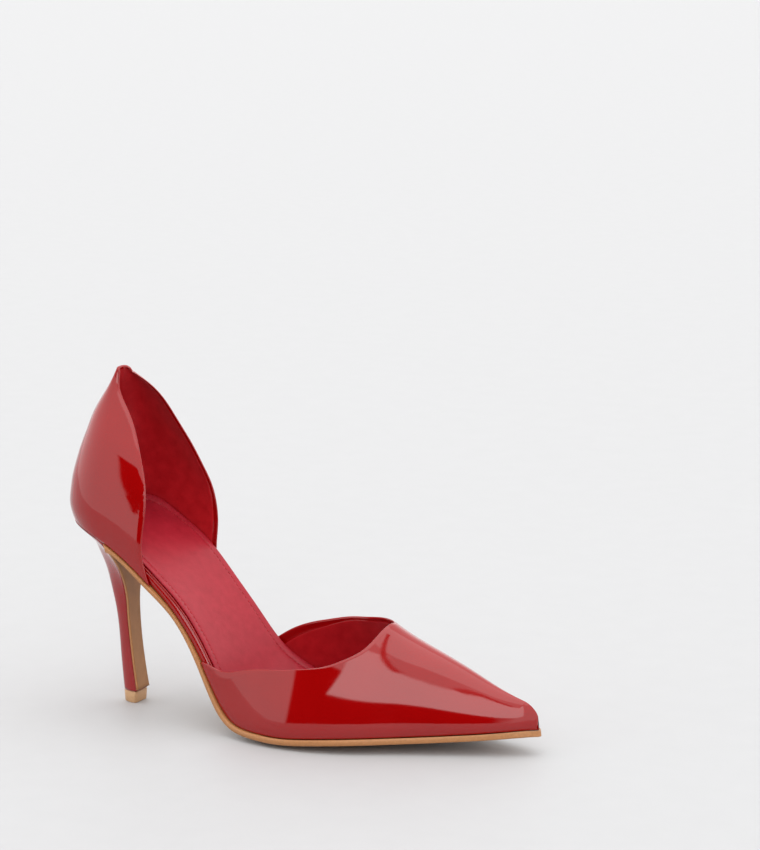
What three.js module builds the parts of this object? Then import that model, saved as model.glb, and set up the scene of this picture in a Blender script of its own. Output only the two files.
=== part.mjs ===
// Right pump shoe in patent, open at both sides of the waist, with a slim stiletto heel.
// Millimetres. x runs from the heel to the toe, y to the wearer's left (inner side), z up.
// The last is worked out from lengths, widths and heights. The floor is z = 0.
import * as THREE from 'three';
import { mergeVertices } from 'three/addons/utils/BufferGeometryUtils.js';

// Driving sizes of the last
const lastLength = 234; // back of the seat to the toe point, measured along the floor
const ballWidth = 66; // insole board across the ball
const seatHeight = 89; // underside of the sole below the back of the seat
const toeSpring = 8.5; // underside of the sole at the toe point
const seatSetIn = 1; // seat outline starts this far in front of the last's back
const backRoundness = 24.8; // radius of the seat outline at the back
const toeRoundness = 6; // length over which the toe point is rounded
const toeBluntness = 0.6; // power of that rounding from the side, under 1 for a steeper point

// Driving sizes of the pieces
const fitGap = 0.3; // clearance between neighbouring pieces
const upperWall = 1.6; // patent and lining together
const waistSole = 1.7; // outsole under the waist
const foreSole = 2.8; // outsole under the ball and toes
const breastSole = 1.1; // outsole where it runs down the front of the heel
const soleLedge = 0.7; // outsole past the upper
const boardSeat = 4.6; // insole board at seat and waist
const boardToe = 2.4; // insole board at the toe
const boardToeInset = 0.8; // insole board drawn in where the vamp wraps over it
const sockThickness = 1.2;
const sockInset = 0.25; // sock edge inside the board edge
const sockToeGap = 13; // sock ends before the toe point
const boardToeGap = 4; // insole board ends before the toe point

const peakHeight = 161.9; // top of the quarter above the floor
const peakRounding = 2.4; // its front corners below its middle
const throatHeight = 53.4; // deepest point of the vamp's topline above the floor
const toeHeight = 22.5; // ridge of the vamp carried on to the toe point

const topPieceHeight = 5.6;
const heelTipDepth = 9.1; // front to back just above the top piece
const heelTipWidth = 10.2;
const heelSetIn = 20.8; // back of the heel's tip in front of the back of the seat
const heelBreast = 26.3; // heel front below the seat, in front of the back of the seat
const heelSeatInset = 0.7; // heel's top inside the foot of the quarter
const topPieceTaper = 0.35; // top piece drawn in at the floor
const flapStep = 0.9; // sole flap ends this far above the heel's lower end

// Mesh fineness
const acrossSteps = 8;
const soleSteps = 44;
const layerSteps = 50;
const layerEasing = 0.5; // rows of a layer drawn to its ends, 0 for even rows
const soleEasing = 0.5; // rows of the sole drawn to its toe
const vampEasing = 0.4; // rows of the vamp drawn to its toe
const vampAcross = 28;
const vampAlong = 20;
const quarterAround = 28;
const quarterUp = 16;
const heelAround = 18;
const heelUp = 20;
const flapRows = 12;
const bendRows = 4;
const weldDistance = 1e-4;

// Rows of numbers under named columns
const table = (names, rows) => rows.map((row) => Object.fromEntries(names.map((name, k) => [name, row[k]])));

// One row for each section of the last. Stations are shares of lastLength,
// lateral, medial, tilt and crown of ballWidth, rise of seatHeight, spring of toeSpring.
// sole goes from the waist's thickness (0) to the ball's (1), cover is 1 under the upper.
const lastRows = table(['station', 'lateral', 'medial', 'rise', 'spring', 'tilt', 'crown', 'sole', 'cover'], [
  [0.000, -0.376, 0.376, 1.000, 0.00, 0.000, 0.004, 0.0, 1.0],
  [0.085, -0.376, 0.376, 0.946, 0.00, 0.011, 0.008, 0.0, 1.0],
  [0.160, -0.388, 0.374, 0.851, 0.00, 0.037, 0.020, 0.0, 0.9],
  [0.225, -0.394, 0.340, 0.724, 0.00, 0.058, 0.030, 0.0, 0.8],
  [0.280, -0.400, 0.310, 0.580, 0.00, 0.055, 0.037, 0.0, 0.2],
  [0.335, -0.415, 0.294, 0.390, 0.00, 0.093, 0.044, 0.1, 0.6],
  [0.390, -0.455, 0.298, 0.184, 0.00, 0.141, 0.056, 0.4, 1.0],
  [0.450, -0.503, 0.335, 0.068, 0.00, 0.120, 0.073, 0.8, 1.0],
  [0.490, -0.530, 0.375, 0.027, 0.00, 0.082, 0.079, 1.0, 1.0],
  [0.535, -0.540, 0.420, -0.004, 0.00, 0.040, 0.075, 1.0, 1.0],
  [0.600, -0.520, 0.460, -0.006, 0.00, 0.007, 0.060, 1.0, 1.0],
  [0.680, -0.435, 0.458, 0.000, 0.09, -0.005, 0.047, 1.0, 1.0],
  [0.770, -0.280, 0.400, 0.000, 0.28, -0.003, 0.038, 1.0, 1.0],
  [0.860, -0.140, 0.320, 0.000, 0.51, -0.002, 0.030, 1.0, 1.0],
  [0.920, -0.045, 0.250, 0.000, 0.70, 0.000, 0.024, 1.0, 1.0],
  [1.000, 0.095, 0.158, 0.000, 1.00, 0.000, 0.014, 1.0, 1.0],
]);

// Ridge of the vamp. height is a share of the way from toeHeight to throatHeight, and goes on
// behind the throat as the instep that the topline is cut from. side is a share of ballWidth,
// fullness the power of the arch.
const ridgeRows = table(['station', 'height', 'side', 'fullness'], [
  [0.33, 2.600, -0.030, 2.40],
  [0.50, 2.081, -0.007, 1.50],
  [0.60, 1.664, -0.011, 1.59],
  [0.70, 1.061, 0.016, 1.72],
  [0.78, 0.738, 0.043, 1.79],
  [0.86, 0.456, 0.076, 1.78],
  [0.93, 0.196, 0.099, 1.74],
  [1.00, 0.000, 0.127, 1.55],
]);

// Topline of the vamp from the outer corner over the throat to the inner corner.
// height is a share of throatHeight, and the corners lie on the sole.
const vampToplineRows = table(['across', 'station', 'height'], [
  [0.00, 0.331, 0.000],
  [0.06, 0.384, 0.599],
  [0.12, 0.451, 0.630],
  [0.18, 0.512, 0.658],
  [0.25, 0.574, 0.691],
  [0.32, 0.622, 0.734],
  [0.39, 0.663, 0.812],
  [0.45, 0.692, 0.938],
  [0.50, 0.702, 1.024],
  [0.56, 0.690, 1.010],
  [0.62, 0.655, 0.993],
  [0.69, 0.611, 0.957],
  [0.76, 0.575, 0.937],
  [0.82, 0.532, 0.903],
  [0.88, 0.483, 0.855],
  [0.94, 0.429, 0.773],
  [1.00, 0.378, 0.000],
]);

// Quarter from the sole (up 0) to its peak (up 1). back, outerFront and innerFront are
// shares of lastLength along x, outerWidth and innerWidth shares of the width on the sole.
const quarterRows = table(['up', 'back', 'outerFront', 'innerFront', 'outerWidth', 'innerWidth'], [
  [0.00, 0.000, 0.222, 0.249, 1.00, 1.00],
  [0.10, -0.009, 0.211, 0.249, 1.03, 1.03],
  [0.20, -0.006, 0.208, 0.252, 1.04, 1.05],
  [0.31, 0.000, 0.213, 0.249, 1.01, 1.05],
  [0.40, 0.008, 0.215, 0.241, 0.96, 1.02],
  [0.50, 0.018, 0.208, 0.224, 0.87, 0.96],
  [0.60, 0.030, 0.192, 0.206, 0.75, 0.88],
  [0.70, 0.041, 0.170, 0.187, 0.58, 0.76],
  [0.80, 0.058, 0.142, 0.169, 0.41, 0.62],
  [0.90, 0.078, 0.109, 0.147, 0.25, 0.43],
  [1.00, 0.094, 0.100, 0.113, 0.14, 0.17],
]);

// Heel from the top piece (up 0) to the seat (up 1). back goes from the seat's back (0) to
// the tip's back (1), front from heelBreast (0) to the tip's front (1), width is a share of
// the seat's half width past the tip's, roundness the power of the D-shaped section.
const heelRows = table(['up', 'back', 'front', 'width', 'roundness'], [
  [0.00, 1.000, 1.00, 0.000, 2.1],
  [0.08, 0.970, 0.72, -0.010, 2.1],
  [0.20, 0.930, 0.36, -0.018, 2.1],
  [0.35, 0.890, 0.00, -0.020, 2.1],
  [0.48, 0.815, -0.20, -0.008, 2.0],
  [0.60, 0.690, -0.25, 0.022, 1.8],
  [0.70, 0.565, -0.25, 0.135, 1.5],
  [0.80, 0.360, -0.20, 0.350, 1.3],
  [0.88, 0.200, -0.10, 0.620, 1.3],
  [0.94, 0.080, -0.05, 0.830, 1.6],
  [1.00, 0.000, 0.00, 1.000, 2.1],
]);

// Smooth curve through the rows of one table column, straight on past both ends
function column(rows, key, name) {
  const xs = rows.map((row) => row[key]);
  const ys = rows.map((row) => row[name]);
  const last = xs.length - 1;
  const diagonal = new Array(last + 1).fill(1);
  const bend = new Array(last + 1).fill(0);
  for (let i = 1; i < last; i++) {
    const before = xs[i] - xs[i - 1];
    const after = xs[i + 1] - xs[i];
    const weight = i > 1 ? before / diagonal[i - 1] : 0;
    diagonal[i] = 2 * (before + after) - weight * before;
    bend[i] = 6 * ((ys[i + 1] - ys[i]) / after - (ys[i] - ys[i - 1]) / before) - weight * bend[i - 1];
  }
  for (let i = last - 1; i > 0; i--) {
    bend[i] = (bend[i] - (xs[i + 1] - xs[i]) * bend[i + 1]) / diagonal[i];
  }
  return (x) => {
    let i = 0;
    while (i < last - 1 && x > xs[i + 1]) i++;
    const span = xs[i + 1] - xs[i];
    const slope = (ys[i + 1] - ys[i]) / span;
    if (x < xs[0]) return ys[0] + (x - xs[0]) * (slope - span * bend[1] / 6);
    if (x > xs[last]) return ys[last] + (x - xs[last]) * (slope + span * bend[last - 1] / 6);
    const t = (x - xs[i]) / span;
    const s = 1 - t;
    return s * ys[i] + t * ys[i + 1]
      + span * span / 6 * ((s * s * s - s) * bend[i] + (t * t * t - t) * bend[i + 1]);
  };
}

const columnsOf = (rows, key, names) => {
  const curves = {};
  for (const name of names) curves[name] = column(rows, key, name);
  return curves;
};

const lastNames = ['lateral', 'medial', 'rise', 'spring', 'tilt', 'crown', 'sole', 'cover'];
const quarterNames = ['back', 'outerFront', 'innerFront', 'outerWidth', 'innerWidth'];
const last = columnsOf(lastRows, 'station', lastNames);
const ridge = columnsOf(ridgeRows, 'station', ['height', 'side', 'fullness']);
const quarter = columnsOf(quarterRows, 'up', quarterNames);
const heel = columnsOf(heelRows, 'up', ['back', 'front', 'width', 'roundness']);

const clamp = THREE.MathUtils.clamp;
const mix = THREE.MathUtils.lerp;
const power = (value, exponent) => Math.pow(Math.max(value, 0), exponent);
const upperReach = fitGap + upperWall; // outside of the upper past the insole board

// Half of an arc: 0 at the end of a piece, 1 once the rounding is over
const roundedEnd = (distance, roundness) => {
  const short = 1 - clamp(distance / roundness, 0, 1);
  return Math.sqrt(1 - short * short);
};

// y at a share across (-1 outer side, 1 inner side) of the outline grown by reach
function outlineY(x, across, reach) {
  const station = clamp(x / lastLength, 0, 1);
  const outer = ballWidth * last.lateral(station) - reach;
  const inner = ballWidth * last.medial(station) + reach;
  const round = roundedEnd(x - seatSetIn + reach, backRoundness + reach)
    * roundedEnd(lastLength + reach - x, toeRoundness + reach);
  return (inner + outer) / 2 + across * round * (inner - outer) / 2;
}

// Height of the last's underside over a plan position, before the flat tread is taken off
function bottomZ(x, y) {
  const station = x / lastLength;
  const held = clamp(station, 0, 1);
  const middle = ballWidth * (last.medial(held) + last.lateral(held)) / 2;
  const half = ballWidth * (last.medial(held) - last.lateral(held)) / 2 + upperReach;
  const across = (y - middle) / half;
  return seatHeight * last.rise(station) + toeSpring * last.spring(station)
    + ballWidth * (last.tilt(held) * across + last.crown(held) * across * across);
}

const slopeStep = 1;
const levelTries = 4;
const turnTries = 30;

// Point at a height over the underside, measured square to its slope along the shoe
function levelPoint(x, y, height) {
  const slope = (bottomZ(x + slopeStep / 2, y) - bottomZ(x - slopeStep / 2, y)) / slopeStep;
  const length = Math.hypot(1, slope);
  return new THREE.Vector3(x - height * slope / length, y, bottomZ(x, y) + height / length);
}

// z of such a level over a plan position
function levelZ(x, y, height) {
  let at = x;
  let point;
  for (let i = 0; i < levelTries; i++) {
    point = levelPoint(at, y, height);
    at += x - point.x;
  }
  return point.z;
}

const soleThickness = (x) => mix(waistSole, foreSole, clamp(last.sole(clamp(x / lastLength, 0, 1)), 0, 1));
const soleReach = (x) => soleLedge + upperReach * clamp(last.cover(clamp(x / lastLength, 0, 1)), 0, 1);

// Closed solid between two grids of points with the same rows and columns. Points that fall
// on one another, as at the toe and the back of the seat, leave no sliver between them.
const snapsPerMillimetre = 1024;

function solidBetween(outside, inside) {
  const rows = outside.length;
  const columns = outside[0].length;
  const positions = [];
  for (const point of [...outside, ...inside].flat()) {
    point.multiplyScalar(snapsPerMillimetre).round().divideScalar(snapsPerMillimetre);
  }
  const triangle = (a, b, c) => {
    if (a.equals(b) || b.equals(c) || c.equals(a)) return;
    positions.push(a.x, a.y, a.z, b.x, b.y, b.z, c.x, c.y, c.z);
  };
  const quad = (a, b, c, d) => {
    triangle(a, b, c);
    triangle(a, c, d);
  };
  for (let i = 0; i < rows - 1; i++) {
    for (let j = 0; j < columns - 1; j++) {
      quad(outside[i][j], outside[i + 1][j], outside[i + 1][j + 1], outside[i][j + 1]);
      quad(inside[i][j], inside[i][j + 1], inside[i + 1][j + 1], inside[i + 1][j]);
    }
    const end = columns - 1;
    quad(outside[i][0], inside[i][0], inside[i + 1][0], outside[i + 1][0]);
    quad(outside[i + 1][end], inside[i + 1][end], inside[i][end], outside[i][end]);
  }
  for (let j = 0; j < columns - 1; j++) {
    const end = rows - 1;
    quad(outside[0][j + 1], inside[0][j + 1], inside[0][j], outside[0][j]);
    quad(outside[end][j], inside[end][j], inside[end][j + 1], outside[end][j + 1]);
  }
  if (signedVolume(positions) < 0) turnInsideOut(positions);
  const geometry = new THREE.BufferGeometry();
  geometry.setAttribute('position', new THREE.Float32BufferAttribute(positions, 3));
  return mergeVertices(geometry, weldDistance);
}

function signedVolume(positions) {
  const a = new THREE.Vector3();
  const b = new THREE.Vector3();
  const c = new THREE.Vector3();
  let volume = 0;
  for (let i = 0; i < positions.length; i += 9) {
    a.fromArray(positions, i);
    b.fromArray(positions, i + 3);
    c.fromArray(positions, i + 6);
    volume += a.dot(b.cross(c)) / 6;
  }
  return volume;
}

function turnInsideOut(positions) {
  for (let i = 0; i < positions.length; i += 9) {
    for (let k = 0; k < 3; k++) {
      const kept = positions[i + 3 + k];
      positions[i + 3 + k] = positions[i + 6 + k];
      positions[i + 6 + k] = kept;
    }
  }
}

// Grid of points made by a function of two shares from 0 to 1
function grid(rows, columns, pointAt) {
  const points = [];
  for (let i = 0; i <= rows; i++) {
    points.push([]);
    for (let j = 0; j <= columns; j++) points[i].push(pointAt(i / rows, j / columns));
  }
  return points;
}

// Insole board and sock lie on the sole one above the other, and follow its whole curve
const smoothstep = THREE.MathUtils.smoothstep;
const waistStation = 0.3; // thinning of the board starts here
const toeStation = 0.7; // and ends here
const vampFrom = 0.32; // board drawn in from here, where the vamp starts
const vampFull = 0.45; // to here
const boardThickness = (x) => mix(boardSeat, boardToe, smoothstep(x / lastLength, waistStation, toeStation));
const boardInset = (x) => boardToeInset * smoothstep(x / lastLength, vampFrom, vampFull);
const boardBottom = (x) => soleThickness(x) + fitGap;
const sockEdgeInset = (x) => sockInset + boardInset(x);
const sockBottom = (x) => boardBottom(x) + boardThickness(x) + fitGap;

function layer(toeGap, inset, bottomAt, thicknessAt) {
  const stationAt = (share) => {
    const eased = (1 - Math.cos(Math.PI * share)) / 2;
    return mix(seatSetIn + inset(0), lastLength - toeGap, mix(share, eased, layerEasing));
  };
  // The piece keeps the last's outline, drawn in by the inset and rounded off at its own ends
  const place = (share, across, height) => {
    const x = stationAt(share);
    const round = roundedEnd(x - seatSetIn - inset(0), backRoundness - inset(0))
      * roundedEnd(lastLength - toeGap - x, toeRoundness);
    const middle = outlineY(clamp(x, backRoundness, lastLength - toeRoundness), 0, 0);
    const edge = outlineY(clamp(x, backRoundness, lastLength - toeRoundness), 1, 0) - middle;
    return levelPoint(x, middle + across * round * (edge - inset(x)), height);
  };
  const across = (j) => 2 * j - 1;
  return solidBetween(
    grid(layerSteps, acrossSteps, (i, j) => {
      const x = stationAt(i);
      return place(i, across(j), bottomAt(x) + thicknessAt(x));
    }),
    grid(layerSteps, acrossSteps, (i, j) => place(i, across(j), bottomAt(stationAt(i)))),
  );
}

// Section of the heel: a D with its flat side to the front, around from -1 to 1
const heelTip = topPieceHeight + fitGap;
const seatHalfWidth = ballWidth * last.medial(0) + upperReach - heelSeatInset;

function heelSection(up) {
  return {
    back: mix(seatSetIn - upperReach + heelSeatInset, heelSetIn, heel.back(up)),
    front: mix(heelBreast, heelSetIn + heelTipDepth, heel.front(up)),
    half: mix(heelTipWidth / 2, seatHalfWidth, heel.width(up)),
    roundness: heel.roundness(up),
  };
}

function sectionPoint(section, around) {
  const angle = Math.abs(around) * Math.PI / 2;
  const exponent = 2 / section.roundness;
  return new THREE.Vector3(
    section.front - (section.front - section.back) * power(Math.cos(angle), exponent),
    Math.sign(around) * section.half * power(Math.sin(angle), exponent),
    0,
  );
}

function heelPoint(up, around) {
  const top = sectionPoint(heelSection(1), around);
  const point = sectionPoint(heelSection(up), around);
  point.z = mix(heelTip, levelZ(top.x, top.y, waistSole), up);
  return point;
}

// Front of the heel, flat across
function breastPoint(up, across) {
  const section = heelSection(up);
  const topHalf = heelSection(1).half;
  const z = mix(heelTip, levelZ(heelBreast, across * topHalf, waistSole), up);
  return new THREE.Vector3(section.front, across * section.half, z);
}

function heelGeometry() {
  const easing = 0.3; // rows drawn to the seat, where the heel flares
  const ups = [];
  for (let i = 0; i <= heelUp; i++) ups.push(mix(i / heelUp, Math.sin(i / heelUp * Math.PI / 2), easing));
  const outside = ups.map((up) => grid(0, heelAround, (i, j) => heelPoint(up, 2 * j - 1))[0]);
  const inside = ups.map((up) => grid(0, heelAround, (i, j) => breastPoint(up, 2 * j - 1))[0]);
  return solidBetween(outside, inside);
}

function topPieceGeometry() {
  const at = (height, around, flat) => {
    const drawnIn = topPieceTaper * (1 - height / topPieceHeight);
    const section = heelSection(0);
    section.back += drawnIn;
    section.front -= drawnIn;
    section.half -= drawnIn;
    const front = new THREE.Vector3(section.front, around * section.half, 0);
    const point = flat ? front : sectionPoint(section, around);
    point.z = height;
    return point;
  };
  return solidBetween(
    grid(1, heelAround, (i, j) => at(i * topPieceHeight, 2 * j - 1, false)),
    grid(1, heelAround, (i, j) => at(i * topPieceHeight, 2 * j - 1, true)),
  );
}

// Outsole: a flap up the heel's front, a bend below the seat, then waist and forefoot to the
// toe. Its tread is flat where it meets the floor.
const bendRun = 6.5; // from the heel's front to where the bend has run out into the waist
const bendEnd = heelBreast + bendRun;
const bendDepth = 1; // control point of the bend below the seat
const flapBend = 0.92; // share of the heel's height at which the bend starts

function solePoint(x, across, height) {
  const point = levelPoint(x, outlineY(x, across, soleReach(x)), height);
  if (height === 0) point.z = Math.max(point.z, 0);
  return point;
}

function bendPoint(share, across) {
  const low = breastPoint(flapBend, across);
  low.x += fitGap + breastSole;
  const high = solePoint(bendEnd, across, 0);
  const corner = new THREE.Vector3(low.x, 0, solePoint(heelBreast, across, 0).z - bendDepth);
  const keep = 1 - share;
  return new THREE.Vector3(
    keep * keep * low.x + 2 * keep * share * corner.x + share * share * high.x,
    0,
    keep * keep * low.z + 2 * keep * share * corner.z + share * share * high.z,
  );
}

function outsoleGeometry() {
  const upper = [];
  const lower = [];
  const flapStart = flapStep / (seatHeight - heelTip);
  const addRow = (topAt, bottomAt) => {
    upper.push(grid(0, acrossSteps, (i, j) => topAt(2 * j - 1))[0]);
    lower.push(grid(0, acrossSteps, (i, j) => bottomAt(2 * j - 1))[0]);
  };
  const flapBack = (up, across) => {
    const point = breastPoint(up, across);
    point.x += fitGap;
    return point;
  };
  for (let i = 0; i <= flapRows; i++) {
    const up = mix(flapStart, flapBend, i / flapRows);
    addRow(
      (across) => flapBack(up, across),
      (across) => flapBack(up, across).add(new THREE.Vector3(breastSole, 0, 0)),
    );
  }
  for (let i = 1; i <= bendRows; i++) {
    const up = mix(flapBend, 1, i / bendRows);
    addRow(
      (across) => flapBack(up, across),
      (across) => bendPoint(i / bendRows / 2, across).setY(flapBack(up, across).y),
    );
  }
  const cornerX = heelBreast + fitGap;
  for (let i = 1; i <= bendRows; i++) {
    const x = mix(cornerX, bendEnd, i / bendRows);
    addRow(
      (across) => solePoint(x, across, soleThickness(x)),
      (across) => bendPoint(0.5 + i / bendRows / 2, across).setY(solePoint(x, across, 0).y),
    );
  }
  const soleEnd = lastLength + upperReach + soleLedge;
  for (let i = 1; i <= soleSteps; i++) {
    const share = i / soleSteps;
    const x = mix(bendEnd, soleEnd, mix(share, Math.sin(share * Math.PI / 2), soleEasing));
    addRow(
      (across) => solePoint(x, across, soleThickness(x)),
      (across) => solePoint(x, across, 0),
    );
  }
  return solidBetween(upper, lower);
}

// Point of the vamp's arch at x, turn from 0 (outer side of the sole) to pi (inner side)
function archPoint(x, turn, inset) {
  const reach = upperReach - inset;
  const station = clamp(x / lastLength, 0, 1);
  const level = soleThickness(x) + fitGap;
  const outer = levelPoint(x, outlineY(x, -1, reach), level);
  const inner = levelPoint(x, outlineY(x, 1, reach), level);
  const round = roundedEnd(lastLength + reach - x, toeRoundness + reach);
  const ridgeY = mix((outer.y + inner.y) / 2, ballWidth * ridge.side(station), round);
  const ridgeZ = mix(toeHeight, throatHeight, ridge.height(station)) - inset;
  const baseZ = mix(outer.z, inner.z, 0.5 - Math.cos(turn) / 2);
  const exponent = 2 / ridge.fullness(station);
  const spread = power(Math.abs(Math.cos(turn)), exponent);
  const edge = turn < Math.PI / 2 ? outer : inner;
  const climb = power(Math.sin(turn), exponent);
  const foot = mix((outer.x + inner.x) / 2, edge.x, spread);
  return new THREE.Vector3(
    mix(foot, x, climb * round),
    mix(ridgeY, edge.y, spread),
    baseZ + power(round, toeBluntness) * climb * (ridgeZ - (outer.z + inner.z) / 2),
  );
}

// Turn of the arch at which the topline reaches its height on one side
function turnAtHeight(x, height, side) {
  let low = 0;
  let high = Math.PI / 2;
  for (let i = 0; i < turnTries; i++) {
    const middle = (low + high) / 2;
    const turn = side < 0 ? middle : Math.PI - middle;
    if (archPoint(x, turn, 0).z < height) low = middle;
    else high = middle;
  }
  return side < 0 ? low : Math.PI - low;
}

function vampTurnRows() {
  return vampToplineRows.map((row) => {
    const x = row.station * lastLength;
    let turn = row.across * Math.PI;
    const height = row.height * throatHeight;
    if (row.height > 0 && row.across !== 0.5) turn = turnAtHeight(x, height, row.across - 0.5);
    return { across: row.across, station: row.station, turn };
  });
}

const vampTopline = columnsOf(vampTurnRows(), 'across', ['station', 'turn']);
const vampSettle = 0.45; // share of the way to the toe over which the rows even out

function vampPoint(along, across, inset) {
  const start = vampTopline.station(across) * lastLength;
  const end = lastLength + upperReach - inset;
  const x = mix(start, end, mix(along, Math.sin(along * Math.PI / 2), vampEasing));
  const settle = smoothstep(along, 0, vampSettle);
  return archPoint(x, mix(vampTopline.turn(across), across * Math.PI, settle), inset);
}

function vampGeometry() {
  return solidBetween(
    grid(vampAlong, vampAcross, (i, j) => vampPoint(i, j, 0)),
    grid(vampAlong, vampAcross, (i, j) => vampPoint(i, j, upperWall)),
  );
}

// Point of the quarter, around from -1 (outer front) over 0 (back) to 1 (inner front)
function quarterPoint(around, up, inset) {
  const reach = upperReach - inset;
  const forward = 1 - Math.cos(Math.abs(around) * Math.PI / 2);
  const outerSide = around < 0;
  const soleFront = lastLength * (outerSide ? quarterRows[0].outerFront : quarterRows[0].innerFront);
  const front = lastLength * (outerSide ? quarter.outerFront(up) : quarter.innerFront(up));
  const widen = outerSide ? quarter.outerWidth(up) : quarter.innerWidth(up);
  const soleX = mix(seatSetIn - reach, soleFront, forward);
  const level = soleThickness(soleX) + fitGap;
  const side = outerSide ? -1 : 1;
  const foot = levelPoint(soleX, outlineY(soleX, side, reach), level);
  const frontY = Math.abs(outlineY(soleFront, side, upperReach));
  const thinner = (1 - widen) * inset / (frontY - inset);
  const back = seatSetIn + lastLength * quarter.back(up) - reach;
  const x = mix(back, front, forward) + (foot.x - soleX) * (1 - up);
  const corner = peakRounding * Math.abs(around) ** 3 * up ** 12;
  return new THREE.Vector3(x, foot.y * (widen - thinner), mix(foot.z, peakHeight, up) - corner);
}

function quarterGeometry() {
  const around = (j) => 2 * j - 1;
  return solidBetween(
    grid(quarterUp, quarterAround, (i, j) => quarterPoint(around(j), i, 0)),
    grid(quarterUp, quarterAround, (i, j) => quarterPoint(around(j), i, upperWall)),
  );
}

const patent = { color: 0x9c0208, roughness: 0.08, metalness: 0 };
const satin = { color: 0xb03a46, roughness: 0.55, metalness: 0 };
const tan = { color: 0x9a6a3e, roughness: 0.5, metalness: 0 };
const rubber = { color: 0xb5855c, roughness: 0.6, metalness: 0 };

function piece(name, geometry, finish) {
  geometry.computeVertexNormals();
  const mesh = new THREE.Mesh(geometry, new THREE.MeshStandardMaterial(finish));
  mesh.name = name;
  return mesh;
}

// The origin lies on the floor under the middle of the top piece
const shoe = new THREE.Group();
shoe.position.x = -(heelSetIn + heelTipDepth / 2);
shoe.add(piece('outsole', outsoleGeometry(), tan));
shoe.add(piece('insole_board', layer(boardToeGap, boardInset, boardBottom, boardThickness), patent));
shoe.add(piece('sock', layer(sockToeGap, sockEdgeInset, sockBottom, () => sockThickness), satin));
shoe.add(piece('upper_vamp', vampGeometry(), patent));
shoe.add(piece('upper_quarter', quarterGeometry(), patent));
shoe.add(piece('heel', heelGeometry(), patent));
shoe.add(piece('top_piece', topPieceGeometry(), rubber));

const model = new THREE.Group();
model.add(shoe);
export default model;
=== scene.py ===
# Looks of a right pump shoe: patent upper, satin lining and sock, tan sole and a slim heel
import math
import bmesh
import bpy
import numpy as np
from mathutils import Matrix, Vector


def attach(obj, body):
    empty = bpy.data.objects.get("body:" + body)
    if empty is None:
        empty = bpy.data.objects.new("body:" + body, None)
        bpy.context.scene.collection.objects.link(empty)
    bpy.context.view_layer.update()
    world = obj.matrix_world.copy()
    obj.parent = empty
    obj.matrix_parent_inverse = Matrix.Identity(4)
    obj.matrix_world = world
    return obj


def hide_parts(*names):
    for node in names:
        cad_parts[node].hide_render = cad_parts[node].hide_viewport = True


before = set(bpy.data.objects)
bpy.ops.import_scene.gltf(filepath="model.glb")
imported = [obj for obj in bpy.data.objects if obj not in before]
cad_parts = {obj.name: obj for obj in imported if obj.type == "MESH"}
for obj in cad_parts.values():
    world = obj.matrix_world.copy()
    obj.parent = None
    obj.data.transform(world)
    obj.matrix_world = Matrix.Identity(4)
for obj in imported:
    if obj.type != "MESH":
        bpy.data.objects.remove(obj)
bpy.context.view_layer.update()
print("frame loaded:", len(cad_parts), "nodes")

# Sizes in metres. x runs from the back of the last to the toe, as in the solids, and originX
# is where the frame's origin lies on it.
lastSizes = {"length": 0.234, "ballWidth": 0.066, "seatHeight": 0.089, "toeSpring": 0.0085,
             "seatSetIn": 0.001, "backRoundness": 0.0248, "toeRoundness": 0.006,
             "toeBluntness": 0.6, "gap": 0.0003, "originX": 0.02535}
searchSizes = {"slopeStep": 0.0005, "levelTries": 4, "turnTries": 30}
# Edges of the upper, where the patent is folded over to the inside and the lining starts
edgeSizes = {"first": 0.0007, "foldRun": 0.0003, "liningStart": 0.0001, "lookBack": 0.02}
vampSizes = {"wall": 0.0016, "throatHeight": 0.0534, "toeHeight": 0.0225, "settle": 0.45,
             "tuck": 0.0007, "tuckHeight": 0.006, "easing": 0.4, "girth": 0.11,
             "acrossSteps": 150, "alongSteps": 70, "rimSteps": 8, "rimRoll": 0.00025,
             "rollWidth": 0.002, "foldWidth": 0.0022, "foldStep": 0.00028}
quarterSizes = {"wall": 0.0016, "peakHeight": 0.1619, "peakRounding": 0.0024,
                "upSteps": 84, "capSteps": 6,
                "sideSteps": 30, "rimSteps": 8, "rimRoll": 0.0006, "rollWidth": 0.0026,
                "foldWidth": 0.0022, "foldStep": 0.00028, "footRoll": 0.0006, "footUp": 0.02,
                "shortGirth": 0.012, "girthSamples": 40, "liningTop": 0.985, "lookBack": 0.03}
soleSizes = {"waist": 0.0017, "ball": 0.0028, "breast": 0.0011, "ledge": 0.0007,
             "flapStep": 0.0009, "bendRun": 0.0065, "flapBend": 0.92, "bendDepth": 0.001,
             "easing": 0.5, "edgeSteps": 4, "edgeDrawn": 0.012, "edgeRound": 0.12,
             "acrossSteps": 16, "flapSteps": 40, "bendSteps": 10, "alongSteps": 150}
boardSizes = {"seat": 0.0046, "toe": 0.0024, "toeInset": 0.0008, "toeGap": 0.004,
              "thinFrom": 0.3, "thinTo": 0.7, "insetFrom": 0.32, "insetTo": 0.45,
             "easing": 0.85, "alongSteps": 160, "acrossSteps": 12, "bulge": 0.00035}
sockSizes = {"thickness": 0.0012, "inset": 0.00025, "toeGap": 0.013,
             "alongSteps": 160, "acrossSteps": 24, "stitchInset": 0.0031,
             "cup": 0.0042, "cupFrom": 0.55, "cupEnd": 0.045}
stitchSizes = {"length": 0.0017, "pitch": 0.0024, "radius": 0.00022, "sunk": 0.00012,
               "first": 0.03, "last": 0.985, "samples": 4000}
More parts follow.
